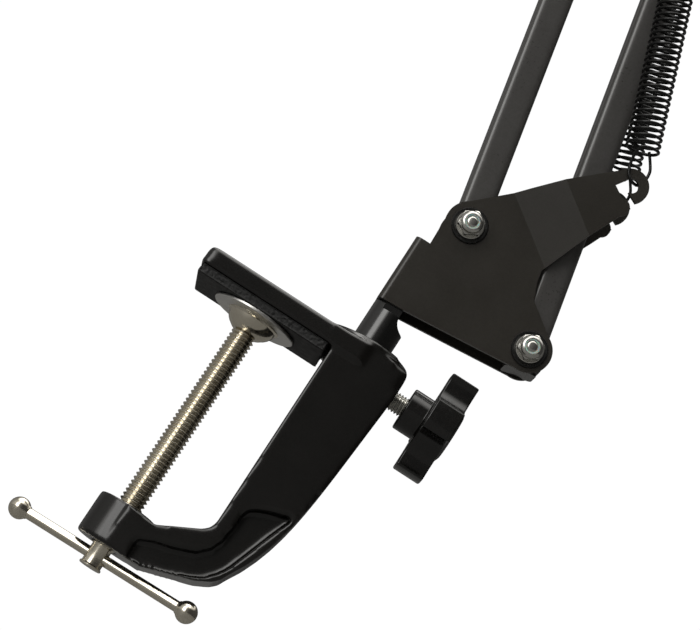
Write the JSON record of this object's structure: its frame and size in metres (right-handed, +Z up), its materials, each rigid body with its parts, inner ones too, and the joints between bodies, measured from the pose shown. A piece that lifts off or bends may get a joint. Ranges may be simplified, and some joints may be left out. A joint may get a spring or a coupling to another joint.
{
  "type": "microphone boom arm stand",
  "caption": "Spring-balanced scissor boom arm for a microphone, with a screw clamp for a desk edge, a lockable swivel post, an elbow and a tilting threaded head.",
  "frame": {"origin": "axis of the clamp screw at the underside of the jaw's rubber pad, where the clamp sits on a desk", "axes": "+Z up along the clamp screw and the swivel post, +X from the screw towards the spine and the lock knob, +Y towards the bolt heads, away from the nuts"},
  "size_m": [0.4659, 0.0464, 0.7384],
  "materials": {
    "black_paint": "satin powder coat",
    "rubber": "matt, rough-cut edges",
    "nickel": "bright nickel plating",
    "black_plastic": "glossy moulded plastic",
    "black_gloss_metal": "gloss black",
    "zinc": "bright zinc plating",
    "nylon": "translucent nylon",
    "spring_steel": "black coated wire"
  },
  "bodies": {
    "clamp": {"clamp_frame": "black_paint", "jaw_pad": "rubber"},
    "pressure_pad": {"pressure_disc": "nickel", "pressure_cup": "nickel"},
    "screw": {"clamp_screw": "nickel"},
    "handle": {"handle_bar": "nickel", "handle_balls": "nickel"},
    "shoe": {"lock_shoe": "nylon"},
    "knob": {"lock_stud": "zinc", "lock_knob": "black_plastic"},
    "bracket": {"base_bracket": "black_paint", "swivel_post": "black_gloss_metal", "base_rings": "black_plastic", "base_washers": "zinc", "base_bolts": "zinc", "base_nuts": "zinc", "base_inserts": "nylon", "lower_spring_front": "spring_steel", "lower_spring_rear": "spring_steel"},
    "lower_main": {"lower_main_tube": "black_paint", "lower_main_bushes": "black_plastic", "lower_main_plugs": "black_plastic", "lower_spring_pin": "zinc"},
    "lower_link": {"lower_link_tube": "black_paint", "lower_link_bushes": "black_plastic", "lower_link_plugs": "black_plastic"},
    "elbow": {"elbow_plates": "black_paint", "elbow_rings": "black_plastic", "elbow_washers": "zinc", "elbow_bolts": "zinc", "elbow_nuts": "zinc", "elbow_inserts": "nylon", "elbow_spring_pin": "zinc", "upper_spring_front": "spring_steel", "upper_spring_rear": "spring_steel"},
    "upper_main": {"upper_main_tube": "black_paint", "upper_main_bushes": "black_plastic", "upper_main_plugs": "black_plastic", "upper_spring_pin": "zinc"},
    "upper_link": {"upper_link_tube": "black_paint", "upper_link_bushes": "black_plastic", "upper_link_plugs": "black_plastic"},
    "head": {"head_plates": "black_paint", "head_rings": "black_plastic", "head_washers": "zinc", "head_bolts": "zinc", "head_nuts": "zinc", "head_inserts": "nylon"},
    "tilt": {"tilt_block": "black_gloss_metal", "thread_collar": "nickel", "mic_thread": "nickel"}
  },
  "joints": [
    {"name": "screw_feed", "type": "slide", "parent": "clamp", "child": "pressure_pad", "axis": [0, 0, -1], "range_m": [0, 0.07]},
    {"name": "screw_turn", "type": "hinge", "parent": "pressure_pad", "child": "screw", "pos_m": [0, 0, -0.05], "axis": [0, 0, -1], "range_deg": [0, 14400]},
    {"name": "handle_slide", "type": "slide", "parent": "screw", "child": "handle", "axis": [0.9781, -0.2079, 0], "range_m": [-0.031, 0.026]},
    {"name": "lock_feed", "type": "slide", "parent": "clamp", "child": "shoe", "axis": [1, 0, 0], "range_m": [0, 0.00375]},
    {"name": "lock_turn", "type": "hinge", "parent": "shoe", "child": "knob", "pos_m": [0.07, 0, 0.0021], "axis": [-1, 0, 0], "range_deg": [0, 1080]},
    {"name": "arm_swivel", "type": "hinge", "parent": "clamp", "child": "bracket", "pos_m": [0.0423, 0, 0], "axis": [0, 0, 1], "continuous": true},
    {"name": "lower_arm", "type": "hinge", "parent": "bracket", "child": "lower_main", "pos_m": [0.0933, 0, 0.0455], "axis": [0, -1, 0], "range_deg": [-72, 29], "deforming": ["lower_spring_front", "lower_spring_rear"]},
    {"name": "lower_link_pivot", "type": "hinge", "parent": "bracket", "child": "lower_link", "pos_m": [0.0491, 0, 0.0738], "axis": [0, -1, 0], "range_deg": [-72, 29]},
    {"name": "elbow_level", "type": "hinge", "parent": "lower_main", "child": "elbow", "pos_m": [0.02629, 0, 0.38393], "axis": [0, -1, 0], "range_deg": [-29, 72]},
    {"name": "upper_arm", "type": "hinge", "parent": "elbow", "child": "upper_main", "pos_m": [0.01209, 0, 0.43623], "axis": [0, -1, 0], "range_deg": [-45, 37], "deforming": ["upper_spring_front", "upper_spring_rear"]},
    {"name": "upper_link_pivot", "type": "hinge", "parent": "elbow", "child": "upper_link", "pos_m": [0.03089, 0, 0.47153], "axis": [0, -1, 0], "range_deg": [-45, 37]},
    {"name": "head_level", "type": "hinge", "parent": "upper_main", "child": "head", "pos_m": [-0.30059, 0, 0.58203], "axis": [0, -1, 0], "range_deg": [-37, 45]},
    {"name": "head_tilt", "type": "hinge", "parent": "head", "child": "tilt", "pos_m": [-0.32659, 0, 0.57803], "axis": [0, -1, 0], "range_deg": [-60, 75]}
  ],
  "couplings": [
    {"joint": "screw_feed", "follows": "screw_turn", "m_per_rad": 0.00027852},
    {"joint": "lock_feed", "follows": "lock_turn", "m_per_rad": 0.00019894},
    {"joint": "lower_link_pivot", "follows": "lower_arm", "ratio": 1},
    {"joint": "elbow_level", "follows": "lower_arm", "ratio": -1},
    {"joint": "upper_link_pivot", "follows": "upper_arm", "ratio": 1},
    {"joint": "head_level", "follows": "upper_arm", "ratio": -1}
  ]
}
